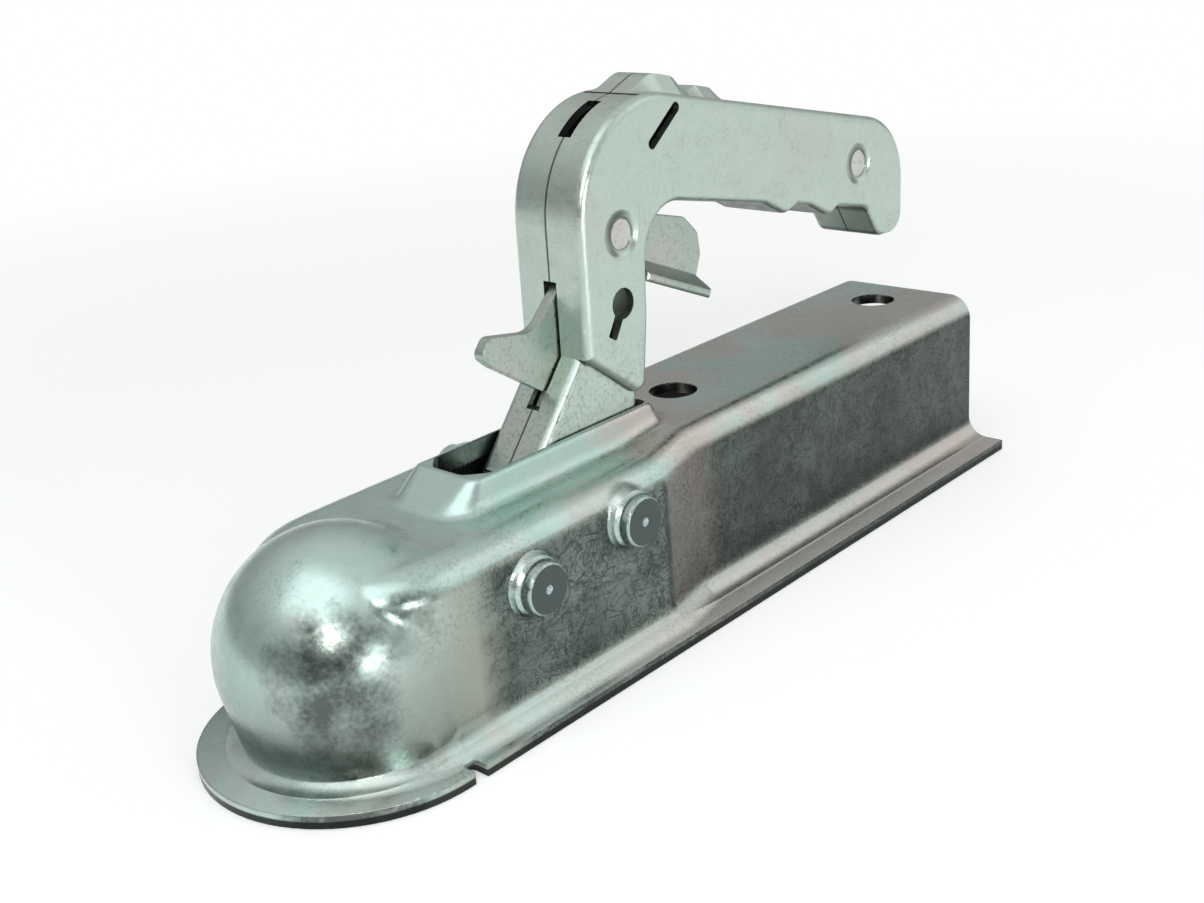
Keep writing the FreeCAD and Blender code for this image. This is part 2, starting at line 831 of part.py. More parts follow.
def make_shell(label):
    """Near half of the pressed handle, open at the split."""
    body = new_body(label, HANDLE_PIN)
    wall = size("shell_thickness")
    half = size("handle_half_width")
    neck = size("neck_half_width")
    upper = rounded(handle_corners())
    slim = pad(body, sketch_on(body, "XZ_Plane", [neck_outline()]), "Sizes.neck_half_width")
    doc.recompute()
    rim = pick_edges(slim.Shape, lambda edge: on_face(edge, -neck))
    fillet(body, slim, rim, "handle_edge_radius")
    wide = pad(body, sketch_on(body, "XZ_Plane", [upper]), "Sizes.handle_half_width")
    doc.recompute()
    rim = pick_edges(wide.Shape, lambda edge: on_face(edge, -half))
    fillet(body, wide, rim, "handle_edge_radius")
    # Bumps across the split, easing down to the grip's top at their side
    middle = size("bump_half_width") - size("bump_ease")
    pad(body, sketch_on(body, "XZ_Plane", [bump_outline(1.0)]), middle)
    tall = sketch_on(body, "XZ_Plane", [bump_outline(1.0)], middle)
    flat = sketch_on(body, "XZ_Plane", [bump_outline(0.1)], size("bump_half_width"))
    loft(body, "AdditiveLoft", [tall, flat])
    inner = sketch_on(body, "XZ_Plane", [inset(upper, wall)])
    pocket(body, inner, half - wall, reverse=True)
    inner = sketch_on(body, "XZ_Plane", [inset(neck_outline(), wall)])
    pocket(body, inner, neck - wall, reverse=True)
    shell_cuts(body)
    lower(body, "handle_pin_x", "handle_pin_height")
    return body


def rectangle(x, z, length, width, angle, corner):
    """Rounded rectangle, turned about its own centre."""
    along = Vector(math.cos(math.radians(angle)), math.sin(math.radians(angle)), 0)
    across = Vector(-along.y, along.x, 0)
    corners = []
    for i, j in ((-1, -1), (1, -1), (1, 1), (-1, 1)):
        spot = Vector(x, z, 0) + along * (i * length / 2) + across * (j * width / 2)
        corners.append((spot.x, spot.y, corner))
    return rounded(corners)


def shell_cuts(body):
    """Holes, slots and windows of one handle shell."""
    wall = size("shell_thickness")
    half = size("handle_half_width")
    neck = size("neck_half_width")
    reach = 2 * size("neck_radius")
    top = size("neck_open_height")
    # Open sides of the lower end, where the cams and the indicator's eye stand
    eye = rounded([(-reach, -reach, 0), (reach, -reach, 0), (reach, top, 0), (-reach, top, 0)])
    pocket(body, sketch_on(body, "XZ_Plane", [eye]), neck - wall, reverse=True)
    # Holes through the side wall
    bore = size("small_rivet_radius") + size("pin_fit")
    width = size("vent_width")
    vent = (size("vent_x"), grip_top(size("vent_x")) - size("vent_drop"))
    holes = [
        circle(0, 0, PIN_BORE),
        circle(*NECK_RIVET, bore),
        circle(*GRIP_RIVET, bore),
        circle(*LOCK_HOLE, size("lock_radius")),
        rectangle(*vent, size("vent_length"), width, size("vent_angle"), width / 2),
    ]
    pocket(body, sketch_on(body, "XZ_Plane", holes), half + wall, reverse=True)
    # Key slot below the lock hole
    angle = size("lock_slot_angle")
    way = Vector(math.cos(math.radians(angle)), math.sin(math.radians(angle)), 0)
    middle = Vector(*LOCK_HOLE, 0) - way * (size("lock_radius") * 1.35)
    key = rectangle(middle.x, middle.y, size("lock_slot_length"), size("lock_slot_width"), angle, 0.5)
    pocket(body, sketch_on(body, "XZ_Plane", [key]), half + wall, reverse=True)
    # Openings along the split: indicator, window and trigger
    gap = size("plate_half_thickness") + size("split_slot_side")
    front = size("spine_front")
    height = size("split_slot_height")
    low = size("crease_front") - size("split_slot_low")
    openings = (
        (front - 5.2, low + height / 2, size("split_slot_depth"), height, 0.0, 0),
        (
            front + size("window_back"), size("crown_height") - size("window_drop"),
            size("window_length"), size("window_height"), size("window_angle"), 1.0,
        ),
        (NECK_RIVET[0] + 25.1, NECK_RIVET[1] - 3.4, 37.4, 20.0, 0.0, 0),
    )
    for opening in openings:
        pocket(body, sketch_on(body, "XZ_Plane", [rectangle(*opening)]), gap, reverse=True)


def mirror_of(body, label):
    """The same pressing for the other side."""
    other = doc.addObject("Part::Mirroring", label)
    other.Label = label
    other.Source = body
    other.Normal = Vector(0, 1, 0)
    return other


def make_stud(label, x, z):
    """Plain rivet that joins the two handle shells, closed flush in their dimples."""
    body = new_body(label, HANDLE_PIN)
    outline = circle(x, z, size("small_rivet_radius"))
    length = 2 * (size("handle_half_width") - 0.3)
    pad(body, sketch_on(body, "XZ_Plane", [outline]), length, midplane=True)
    lower(body, "handle_pin_x", "handle_pin_height")
    return body


def make_tube(label, x, z, start, end):
    """Distance tube on a handle rivet, between two places along Y."""
    body = new_body(label, HANDLE_PIN)
    bore = size("small_rivet_radius") + size("pin_fit")
    outlines = [circle(x, z, bore + size("spacer_wall")), circle(x, z, bore)]
    pad(body, sketch_on(body, "XZ_Plane", outlines, -end), end - start)
    lower(body, "handle_pin_x", "handle_pin_height")
    return body


def make_cam(label, start, end):
    """Cam plate whose lobe holds the claw shut behind the ball."""
    body = new_body(label, HANDLE_PIN)
    reach = size("cam_reach")
    radius = size("cam_radius")
    top = size("neck_open_height") - size("side_gap")
    low = -size("cam_depth")
    corners = [
        (-radius, top, 3.0),
        (-reach, low + size("cam_lobe_height"), 3.0),
        (-reach, low, 3.0),
        (-10.0, low, 4.0),
        (radius, -8.0, 8.0),
        (radius, top, 3.0),
    ]
    outlines = [rounded(corners), circle(0, 0, PIN_BORE)]
    pad(body, sketch_on(body, "XZ_Plane", outlines, -end), end - start)
    lower(body, "handle_pin_x", "handle_pin_height")
    return body


def make_indicator():
    """Wear and coupling indicator: flat pointer with an eye on the rear pin."""
    body = new_body("wear_indicator", HANDLE_PIN)
    eye = size("indicator_eye")
    waist = size("indicator_waist_height")
    tip = -size("indicator_beak_reach")
    level = size("indicator_beak_height")
    back = size("indicator_back")
    top = size("indicator_top")
    corners = [
        (1.0, level + 1.4, 7.0),
        (tip + 3.4, level + 4.0, 2.5),
        (tip, level, 2.0),
        (tip + 3.6, level - 3.4, 2.0),
        (1.8, waist, 2.0),
        (5.4, waist, 1.0),
        (-eye, eye + 0.5, 5.0),
        (-eye, -eye, 8.0),
        (eye, -eye, 8.0),
        (eye, eye + 0.5, 5.0),
        (back - 3.4, level - 10.0, 6.0),
        (back, top - 3.2, 4.0),
        (back - 8.7, top, 1.0),
    ]
    outlines = [rounded(corners), circle(0, 0, PIN_BORE)]
    half = "2 * Sizes.plate_half_thickness"
    pad(body, sketch_on(body, "XZ_Plane", outlines), half, midplane=True)
    lower(body, "handle_pin_x", "handle_pin_height")
    return body


def make_trigger():
    """Finger trigger under the grip: flat lever with a bent pad."""
    body = new_body("trigger", HANDLE_PIN)
    x, z = NECK_RIVET
    eye = size("trigger_eye")
    end = x + size("trigger_length")
    low = z - size("trigger_drop")
    arm = z + size("trigger_arm")
    corners = [
        (x - eye, z - eye, 5.0),
        (x + 2 * eye, z - 11.0, 4.0),
        (end - 3.0, low, 2.5),
        (end, low + 7.0, 2.5),
        (end - 0.7, low + 13.0, 2.5),
        (end - 6.0, low + 18.3, 3.0),
        (x + 13.0, z + 2.0, 5.0),
        (x + 5.0, arm, 2.0),
        (x - 2.0, arm, 2.0),
        (x - eye, z + eye, 5.0),
    ]
    bore = size("small_rivet_radius") + size("pin_running")
    outlines = [rounded(corners), circle(x, z, bore)]
    half = "2 * Sizes.plate_half_thickness"
    pad(body, sketch_on(body, "XZ_Plane", outlines), half, midplane=True)
    # Pad bent outward and down along the lever's lower edge
    root = sketch_on(body, "XZ_Plane", [trigger_pad(0.0)])
    lip = sketch_on(body, "XZ_Plane", [trigger_pad(size("trigger_pad_drop"))], size("trigger_pad_reach"))
    loft(body, "AdditiveLoft", [root, lip])
    reach = size("trigger_pad_reach")
    round_edges(body, lambda edge: on_face(edge, -reach), "trigger_lip_round")
    lower(body, "handle_pin_x", "handle_pin_height")
    return body


def trigger_pad(drop):
    """Side outline of the trigger's pad, lowered along its reach."""
    x, z = NECK_RIVET
    end = x + size("trigger_length")
    low = z - size("trigger_drop")
    corners = [
        (x + 14.0, z - 8.9 - drop, 0),
        (x + 12.8, z - 11.6 - drop, 0),
        (end - 3.7, low + 0.1 - drop, 0),
        (end - 2.5, low + 2.8 - drop, 0),
    ]
    return rounded(corners)


def on_face(edge, y):
    """Whether an edge lies in one upright plane."""
    box = edge.BoundBox
    return abs(box.YMin - y) < 1e-4 and abs(box.YMax - y) < 1e-4


make_housing()
claw_names = ("claw_pin_x", "claw_pin_height")
handle_names = ("handle_pin_x", "handle_pin_height")
make_rivet("claw_rivet", CLAW_PIN, claw_names)
make_rivet("handle_rivet", HANDLE_PIN, handle_names)
make_claw()
fixed_bore = size("pin_radius") + size("pin_fit")
spacer = fixed_bore + size("spacer_wall")
spacer_end = FRONT_INSIDE - size("spacer_end_play")
claw_side = size("claw_half_width") + size("side_gap")
neck_side = size("neck_half_width") + size("side_gap")
for label, pin, names, near in (
    ("claw_spacer", CLAW_PIN, claw_names, claw_side),
    ("handle_spacer", HANDLE_PIN, handle_names, neck_side),
):
    make_ring(label + "_near", pin, names, fixed_bore, spacer, -spacer_end, -near)
    make_ring(label + "_far", pin, names, fixed_bore, spacer, near, spacer_end)
sleeve = PIN_BORE + size("bush_wall")
half_claw = size("claw_half_width")
make_ring("claw_bush", CLAW_PIN, claw_names, PIN_BORE, sleeve, -half_claw, half_claw)
coil_radius = sleeve + 0.15 + size("spring_wire") / 2
coil_half = half_claw - size("claw_ear") - size("spring_wire") - size("side_gap")
roof = size("front_top") - T - size("side_gap") - size("spring_wire") / 2
leg_rise = math.degrees(math.asin((roof - CLAW_PIN[1] - coil_radius) / size("spring_top_end")))
spring_ends = (
    ((coil_radius, 0), 270.0, size("spring_low_end")),
    ((0, coil_radius), 180.0 - leg_rise, size("spring_top_end")),
)
make_spring(coil_radius, coil_half, spring_ends)
near_shell = make_shell("handle_shell_near")
mirror_of(near_shell, "handle_shell_far")
make_stud("neck_rivet", *NECK_RIVET)
make_stud("grip_rivet", *GRIP_RIVET)
inside = size("handle_half_width") - size("shell_thickness")
plate_side = size("plate_half_thickness") + size("side_gap")
make_tube("grip_spacer", *GRIP_RIVET, -inside, inside)
make_tube("neck_spacer_near", *NECK_RIVET, -inside, -plate_side)
make_tube("neck_spacer_far", *NECK_RIVET, plate_side, inside)
make_cam("cam_plate_near", -INNER_HALF, -plate_side)
make_cam("cam_plate_far", plate_side, INNER_HALF)
make_indicator()
make_trigger()

doc.recompute()

KINDS = ("PartDesign::Body", "Part::Feature", "Part::Mirroring")
PARTS = [item for item in doc.Objects if item.TypeId in KINDS]


def check_all():
    """Every object computed, and every sub-part a sound solid."""
    failed = []
    for item in doc.Objects:
        if "Invalid" in item.State or "Error" in item.State:
            failed.append(f"{item.Label} did not compute: {item.State}")
    for item in PARTS:
        if item.Shape.isNull() or not item.Shape.isValid():
            failed.append(f"{item.Label} has no sound shape")
    if failed:
        raise RuntimeError("; ".join(failed))


check_all()
os.makedirs("parts", exist_ok=True)
for item in PARTS:
    item.Shape.exportStep(f"parts/{item.Label}.step")
    print(item.Label, round(item.Shape.Volume), len(item.Shape.Solids))
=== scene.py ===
"""Trailer coupling head: the finish of its plated pieces, its claw spring and a plain studio stage."""

import math

import bpy
from bpy.props import FloatProperty, FloatVectorProperty, IntProperty, PointerProperty
from mathutils import Matrix, Vector


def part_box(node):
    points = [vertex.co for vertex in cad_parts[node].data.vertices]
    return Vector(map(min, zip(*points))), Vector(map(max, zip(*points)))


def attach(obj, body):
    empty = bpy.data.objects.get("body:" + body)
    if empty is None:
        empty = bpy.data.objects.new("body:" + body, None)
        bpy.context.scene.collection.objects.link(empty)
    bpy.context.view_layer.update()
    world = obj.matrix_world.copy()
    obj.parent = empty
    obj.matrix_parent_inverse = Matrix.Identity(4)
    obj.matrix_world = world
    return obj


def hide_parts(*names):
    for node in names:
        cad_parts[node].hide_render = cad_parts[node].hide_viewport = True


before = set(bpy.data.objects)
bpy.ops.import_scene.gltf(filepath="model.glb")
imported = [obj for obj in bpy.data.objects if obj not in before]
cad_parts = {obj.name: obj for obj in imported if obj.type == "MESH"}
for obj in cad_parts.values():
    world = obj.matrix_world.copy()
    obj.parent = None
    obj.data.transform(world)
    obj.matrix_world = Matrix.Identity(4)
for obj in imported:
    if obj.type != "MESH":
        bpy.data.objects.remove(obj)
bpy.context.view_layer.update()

bl_info = {
    "name": "Trailer Coupling Head",
    "version": (1, 0, 0),
    "blender": (4, 5, 0),
    "location": "View3D > Sidebar > Coupling",
    "description": "Dresses the pieces of a trailer coupling head and sets its studio stage",
    "category": "Object",
}

MM = 0.001

# Places on the coupling, from the ball's centre
SHEET = 3.0 * MM
FLANGE_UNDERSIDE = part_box("housing")[0].z
FLANGE_TOP = FLANGE_UNDERSIDE + SHEET
FLANGE_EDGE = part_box("housing")[1].y
FLANGE_NOSE = 1.7 * MM
FLANGE_ROLL = 6.5 * MM
DOME_END = 19.0 * MM
WALL_TOP = 20.0 * MM
WAIST_START = 81.0 * MM
WAIST_END = 97.0 * MM
CREASE_HEIGHT = 42.0 * MM
# Height up to which the painted shade round the dome's foot is darkest, and the height over which it clears
DOME_FOOT = -9.0 * MM
DOME_FOOT_FADE = 24.0 * MM
# Way that the middle of the painted dark reflection on the dome's near front faces
DOME_DARK_REFLECTION = Vector((-0.64, -0.72, 0.22)).normalized()
# Where the metal inside the handle's halves, which gets painted shade, ends and their outer side starts
HANDLE_INSIDE = 9.7 * MM
HANDLE_OUTSIDE = 10.2 * MM

# Crystals of the plate in one metre
CRYSTALS = 1100.0
# Length of a score, and the ways the scores run in degrees
SCORE_LENGTH = 12.0 * MM
WALL_SCORES = (12.0, 38.0, 71.0, 97.0, 128.0, 160.0)
HANDLE_SCORES = (25.0, 100.0, 160.0)
# Size of the turned rings round and along a tube
RING_LENGTHS = (3.3 * MM, 0.25 * MM, 3.3 * MM)

# Place that every lamp faces and from which the floor fades into white
COUPLING_MIDDLE = Vector((0.08, 0.0, 0.01))
FLOOR_REACH = 3.0
FLOOR_GAP = 0.2 * MM
FADE_START = 0.30
FADE_END = 0.75
# Name, place, size across and along in metres, power in watts, colour
LAMPS = (
    ("front_lamp", (-0.67, -0.65, 0.60), 0.22, 0.22, 4.2, (1.0, 1.0, 0.98)),
    ("side_lamp", (-0.22, -1.10, 0.14), 0.28, 0.22, 3.2, (0.97, 0.99, 1.0)),
    ("right_lamp", (0.90, -0.72, 0.55), 1.30, 1.10, 2.6, (0.96, 1.0, 0.99)),
    ("top_lamp", (-0.40, -0.10, 1.10), 1.1, 0.9, 2.6, (0.94, 1.0, 1.0)),
)
# Way from the coupling to the dark part of the room, where a viewer stands
DARK_SIDE = Vector((-0.58, -0.80, 0.15)).normalized()


# Settings


class PlatingSettings(bpy.types.PropertyGroup):
    """Colours and roughness of the plated pieces."""

    pressing_colour: FloatVectorProperty(
        name="Pressing", description="Bright plate on the housing's rounded faces",
        subtype="COLOR", size=3, min=0.0, max=1.0, default=(0.51, 0.65, 0.61),
    )
    warm_colour: FloatVectorProperty(
        name="Warm film", description="Faint pink and brown film that drifts over the plate",
        subtype="COLOR", size=3, min=0.0, max=1.0, default=(0.55, 0.47, 0.43),
    )
    green_colour: FloatVectorProperty(
        name="Green film", description="Faint green film that drifts over the plate",
        subtype="COLOR", size=3, min=0.0, max=1.0, default=(0.42, 0.60, 0.55),
    )
    olive_colour: FloatVectorProperty(
        name="Olive film", description="Dull film on the smooth wall behind the dome",
        subtype="COLOR", size=3, min=0.0, max=1.0, default=(0.33, 0.35, 0.29),
    )
    wall_colour: FloatVectorProperty(
        name="Wall", description="Duller plate on the housing's upright walls",
        subtype="COLOR", size=3, min=0.0, max=1.0, default=(0.17, 0.20, 0.182),
    )
    # Dark colour of the scratches and grain, also used as painted shade inside the pieces, along the
    # waist's fold, along the handle's split and in the rivets' dents
    scratch_and_shade_colour: FloatVectorProperty(
        name="Scratches", description="Fine dark marks in the plate",
        subtype="COLOR", size=3, min=0.0, max=1.0, default=(0.035, 0.042, 0.04),
    )
    handle_colour: FloatVectorProperty(
        name="Handle", description="Pale plate on the handle's pressed halves",
        subtype="COLOR", size=3, min=0.0, max=1.0, default=(0.50, 0.60, 0.54),
    )
    rivet_colour: FloatVectorProperty(
        name="Rivets", description="Plate on the upset rivet heads",
        subtype="COLOR", size=3, min=0.0, max=1.0, default=(0.44, 0.56, 0.54),
    )
    flush_colour: FloatVectorProperty(
        name="Flush rivets", description="Paler plate on the handle's own rivets",
        subtype="COLOR", size=3, min=0.0, max=1.0, default=(0.60, 0.62, 0.59),
    )
    steel_colour: FloatVectorProperty(
        name="Steel", description="Bare steel of the inner pieces",
        subtype="COLOR", size=3, min=0.0, max=1.0, default=(0.30, 0.31, 0.32),
    )
    forged_colour: FloatVectorProperty(
        name="Forging", description="Dark skin of the forged claw",
        subtype="COLOR", size=3, min=0.0, max=1.0, default=(0.13, 0.135, 0.14),
    )
    roughness: FloatProperty(
        name="Roughness", description="Roughness of clean bright plate",
        subtype="FACTOR", min=0.0, max=1.0, default=0.22,
    )


class SpringSettings(bpy.types.PropertyGroup):
    """The claw spring's coil."""

    wire: FloatProperty(
        name="Wire", description="Diameter of the spring wire",
        subtype="DISTANCE", unit="LENGTH", min=0.0005, default=1.7 * MM,
    )
    play: FloatProperty(
        name="Play", description="Gap between the bush and the coil",
        subtype="DISTANCE", unit="LENGTH", min=0.0, default=0.2 * MM,
    )
    turns: IntProperty(
        name="Turns", description="Whole turns round the claw's bush", min=2, default=7,
    )
    steps: IntProperty(
        name="Steps", description="Points along one turn of the coil", min=8, default=24,
    )


class StageSettings(bpy.types.PropertyGroup):
    """Camera, floor and soft lamps."""

    camera_place: FloatVectorProperty(
        name="Camera", description="Place of the camera from the ball's centre",
        subtype="TRANSLATION", unit="LENGTH", size=3, default=(-0.1806, -0.2553, 0.1580),
    )
    heading: FloatProperty(
        name="Heading", description="Way the camera looks, from straight back",
        subtype="ANGLE", default=math.radians(43.450),
    )
    tilt: FloatProperty(
        name="Tilt", description="How far the camera looks down",
        subtype="ANGLE", default=math.radians(20.900),
    )
    roll: FloatProperty(
        name="Roll", description="Turn of the picture about its middle",
        subtype="ANGLE", default=math.radians(4.600),
    )
    lens: FloatProperty(
        name="Lens", description="Focal length on a 36 mm wide sensor",
        subtype="DISTANCE_CAMERA", min=1.0, default=46.16,
    )
    floor_colour: FloatVectorProperty(
        name="Floor", description="Pale floor under the coupling",
        subtype="COLOR", size=3, min=0.0, max=1.0, default=(0.85, 0.86, 0.86),
    )
    floor_lift: FloatProperty(
        name="Floor lift", description="How far the floor is raised toward white for the eye",
        min=0.0, default=0.32,
    )
    sky_strength: FloatProperty(
        name="Room light", description="Even light from all round", min=0.0, default=0.58,
    )


# Node helpers


def new_material(name):
    """Empty node material and its principled shader, wired to the output."""
    material = bpy.data.materials.new(name)
    material.use_nodes = True
    tree = material.node_tree
    tree.nodes.clear()
    output = tree.nodes.new("ShaderNodeOutputMaterial")
    shader = tree.nodes.new("ShaderNodeBsdfPrincipled")
    tree.links.new(shader.outputs["BSDF"], output.inputs["Surface"])
    return material, tree, shader


def set_input(tree, node, socket, value):
    """Links an output to a socket, or writes a constant into it."""
    target = node.inputs[socket]
    if isinstance(value, bpy.types.NodeSocket):
        tree.links.new(value, target)
    elif target.type == "RGBA":
        target.default_value = (*value, 1.0)
    else:
        target.default_value = value


def object_place(tree):
    """The surface's place on the object, in metres."""
    return tree.nodes.new("ShaderNodeTexCoord").outputs["Object"]


def object_normal(tree):
    """The surface's own normal on the object."""
    return tree.nodes.new("ShaderNodeTexCoord").outputs["Normal"]


def parts_of(tree, vector):
    """A vector's three parts."""
    split = tree.nodes.new("ShaderNodeSeparateXYZ")
    tree.links.new(vector, split.inputs["Vector"])
    return split.outputs


def maths(tree, operation, first, second=0.0):
    """One arithmetic step on values."""
    node = tree.nodes.new("ShaderNodeMath")
    node.operation = operation
    set_input(tree, node, 0, first)
    set_input(tree, node, 1, second)
    return node.outputs["Value"]


def times(tree, first, second):
    """Product of two values."""
    return maths(tree, "MULTIPLY", first, second)


def larger(tree, first, second):
    """The larger of two values."""
    return maths(tree, "MAXIMUM", first, second)


def vector_maths(tree, operation, *values):
    """One step on vectors, which gives a vector or, for lengths and dot products, a value."""
    node = tree.nodes.new("ShaderNodeVectorMath")
    node.operation = operation
    for index, value in enumerate(values):
        set_input(tree, node, index, value)
    is_value = operation in ("DISTANCE", "DOT_PRODUCT", "LENGTH")
    return node.outputs["Value" if is_value else "Vector"]


def ramp(tree, value, low, high, start=0.0, end=1.0, curve="LINEAR"):
    """The value mapped from low..high to start..end and held at both ends."""
    node = tree.nodes.new("ShaderNodeMapRange")
    node.interpolation_type = curve
    sockets = ("Value", "From Min", "From Max", "To Min", "To Max")
    for socket, number in zip(sockets, (value, low, high, start, end)):
        set_input(tree, node, socket, number)
    return node.outputs["Result"]


def noise(tree, place, scale, detail=3.0, swirl=0.0):
    """Soft cloudy value about 0.5."""
    node = tree.nodes.new("ShaderNodeTexNoise")
    sockets = ("Vector", "Scale", "Detail", "Distortion")
    for socket, value in zip(sockets, (place, scale, detail, swirl)):
        set_input(tree, node, socket, value)
    return node.outputs["Fac"]


def cloud(tree, place, scale, edges, least=0.0, most=1.0, detail=3.0, swirl=0.0):
    """Clouds that rise from least to most where soft noise passes from one edge to the other."""
    return ramp(tree, noise(tree, place, scale, detail, swirl), *edges, least, most)


def mixed(tree, share, first, second):
    """Two colours mixed by a share."""
    node = tree.nodes.new("ShaderNodeMix")
    node.data_type = "RGBA"
    # The colour mix keeps its two colours in the seventh and eighth sockets
    for socket, value in zip((0, 6, 7), (share, first, second)):
        set_input(tree, node, socket, value)
    return node.outputs[2]


def dimmed(colour, share):
    """The colour at a share of its brightness."""
    return [part * share for part in colour]


def stretched(tree, place, lengths, turn):
    """Place turned and then measured in a length of its own along each axis: a cloud becomes streaks."""
    node = tree.nodes.new("ShaderNodeMapping")
    node.vector_type = "TEXTURE"
    for socket, value in zip(("Vector", "Rotation", "Scale"), (place, turn, lengths)):
        set_input(tree, node, socket, value)
    return node.outputs["Vector"]


def hair_lines(tree, place, cell, width, start):
    """Broken net of bent hair lines: 1 on a line and 0 between."""
    drift = tree.nodes.new("ShaderNodeTexNoise")
    set_input(tree, drift, "Vector", place)
    set_input(tree, drift, "Scale", 0.7 / cell)
    bend = (1.6 * cell, 1.6 * cell, 1.6 * cell)
    bent = vector_maths(tree, "MULTIPLY_ADD", drift.outputs["Color"], bend, place)
    net = tree.nodes.new("ShaderNodeTexVoronoi")
    net.feature = "DISTANCE_TO_EDGE"
    set_input(tree, net, "Vector", bent)
    set_input(tree, net, "Scale", 1.0 / cell)
    line = ramp(tree, net.outputs["Distance"], 0.25 * width / cell, width / cell, 1.0, 0.0)
    kept = cloud(tree, place, 1.1 / cell, (start, start + 0.06), detail=2.0)
    return times(tree, line, kept)


def scored(tree, place, turns, start):
    """Straight scores in a few directions of the upright wall: 1 on a line and 0 between."""
    lines = None
    for index, turn in enumerate(turns):
        lengths = (SCORE_LENGTH, SCORE_LENGTH, SCORE_LENGTH / 16)
        streak = stretched(tree, place, lengths, (0.0, math.radians(turn), 0.0))
        off_line = maths(tree, "SUBTRACT", noise(tree, streak, 1.0, 1.0), 0.5)
        line = ramp(tree, maths(tree, "ABSOLUTE", off_line), 0.008, 0.032, 1.0, 0.0)
        per_metre = (1.5 + 0.2 * index) / SCORE_LENGTH
        line = times(tree, line, cloud(tree, place, per_metre, (start, start + 0.05), detail=2.0))
        lines = line if lines is None else larger(tree, lines, line)
    return lines


def disc(name):
    """Centre and radius of a round piece across the coupling."""
    low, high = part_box(name)
    return (low + high) / 2, (high.x - low.x) / 2


def dent(tree, place, centre, inner, outer):
    """0 on a disc whose axis runs along Y, and 1 outside the slope round it."""
    flat = vector_maths(tree, "MULTIPLY", place, (1.0, 0.0, 1.0))
    away = vector_maths(tree, "DISTANCE", flat, (centre.x, 0.0, centre.z))
    return ramp(tree, away, inner, outer, curve="SMOOTHERSTEP")


def inside_faces(tree, spot, normal):
    """1 on faces that look inward or down, where painted shade goes, and 0 on the outer ones."""
    outward = times(tree, normal["Y"], maths(tree, "SIGN", spot["Y"]))
    inward = ramp(tree, outward, -0.5, -0.2, 1.0, 0.0)
    return larger(tree, inward, ramp(tree, normal["Z"], -0.7, -0.4, 1.0, 0.0))


def relief(tree, shader, layers, edge=0.0):
    """Surface relief in layers of height, depth and strength, over edges softened by a small radius."""
    normal = None
    if edge:
        soft = tree.nodes.new("ShaderNodeBevel")
        soft.samples = 3
        set_input(tree, soft, "Radius", edge)
        normal = soft.outputs["Normal"]
    for height, depth, strength in layers:
        bump = tree.nodes.new("ShaderNodeBump")
        for socket, value in zip(("Strength", "Distance", "Height"), (strength, depth, height)):
            set_input(tree, bump, socket, value)
        if normal:
            tree.links.new(normal, bump.inputs["Normal"])
        normal = bump.outputs["Normal"]
    tree.links.new(normal, shader.inputs["Normal"])


def coat(tree, shader, colour, roughness, metallic=1.0):
    """Gives the shader its colour, its roughness and its share of metal."""
    set_input(tree, shader, "Base Color", colour)
    set_input(tree, shader, "Roughness", roughness)
    set_input(tree, shader, "Metallic", metallic)


# Housing


def bright_plate(tree, place, spot, normal, plating):
    """Bright plate with its drifting warm and green films, browner along the flange's root, with painted
    shade round the dome's foot and on the rear top faces and a painted dark reflection on the dome's near
    front.
    """
    rear = ramp(tree, spot["X"], WAIST_START, WAIST_END)
    drift = noise(tree, place, 16.0, detail=4.0, swirl=0.8)
    warm = ramp(tree, maths(tree, "ADD", drift, times(tree, rear, 0.05)), 0.50, 0.68, 0.0, 0.8)
    colour = mixed(tree, warm, plating.pressing_colour, plating.warm_colour)
    green = cloud(tree, place, 22.0, (0.52, 0.66), most=0.7, swirl=1.4)
    colour = mixed(tree, green, colour, plating.green_colour)
    root = ramp(tree, spot["Z"], FLANGE_TOP, FLANGE_TOP + 3 * SHEET, 0.75, 0.0)
    root = times(tree, root, ramp(tree, spot["X"], 0.0, WAIST_START))
    colour = mixed(tree, root, colour, dimmed(plating.warm_colour, 0.9))
    # Painted shade round the dome's foot, in the wall's colour
    colour = mixed(tree, dome_foot_shade(tree, place, spot), colour, plating.wall_colour)
    # Painted shade: upward faces toward the rear are darkened
    top = times(tree, ramp(tree, normal["Z"], 0.9, 0.99, 0.0, 0.2), rear)
    colour = mixed(tree, top, colour, dimmed(plating.pressing_colour, 0.55))
    # Painted dark reflection on the dome's near front, in a darkened wall colour
    return mixed(tree, painted_dark_reflection(tree, place, spot), colour, dimmed(plating.wall_colour, 0.5))


def dome_foot_shade(tree, place, spot):
    """Share of the painted shade round the dome's foot, a dark band standing in for its dark reflection,
    clear of the flange.
    """
    drift = times(tree, noise(tree, place, 40.0, detail=4.0), 6 * MM)
    height = maths(tree, "ADD", spot["Z"], drift)
    band = ramp(tree, height, DOME_FOOT, DOME_FOOT + DOME_FOOT_FADE, 0.75, 0.0)
    clear = ramp(tree, spot["Z"], FLANGE_TOP + 2 * MM, FLANGE_TOP + 5 * MM)
    ahead = ramp(tree, spot["X"], DOME_END - 10 * MM, DOME_END, 1.0, 0.0)
    return times(tree, times(tree, band, clear), ahead)


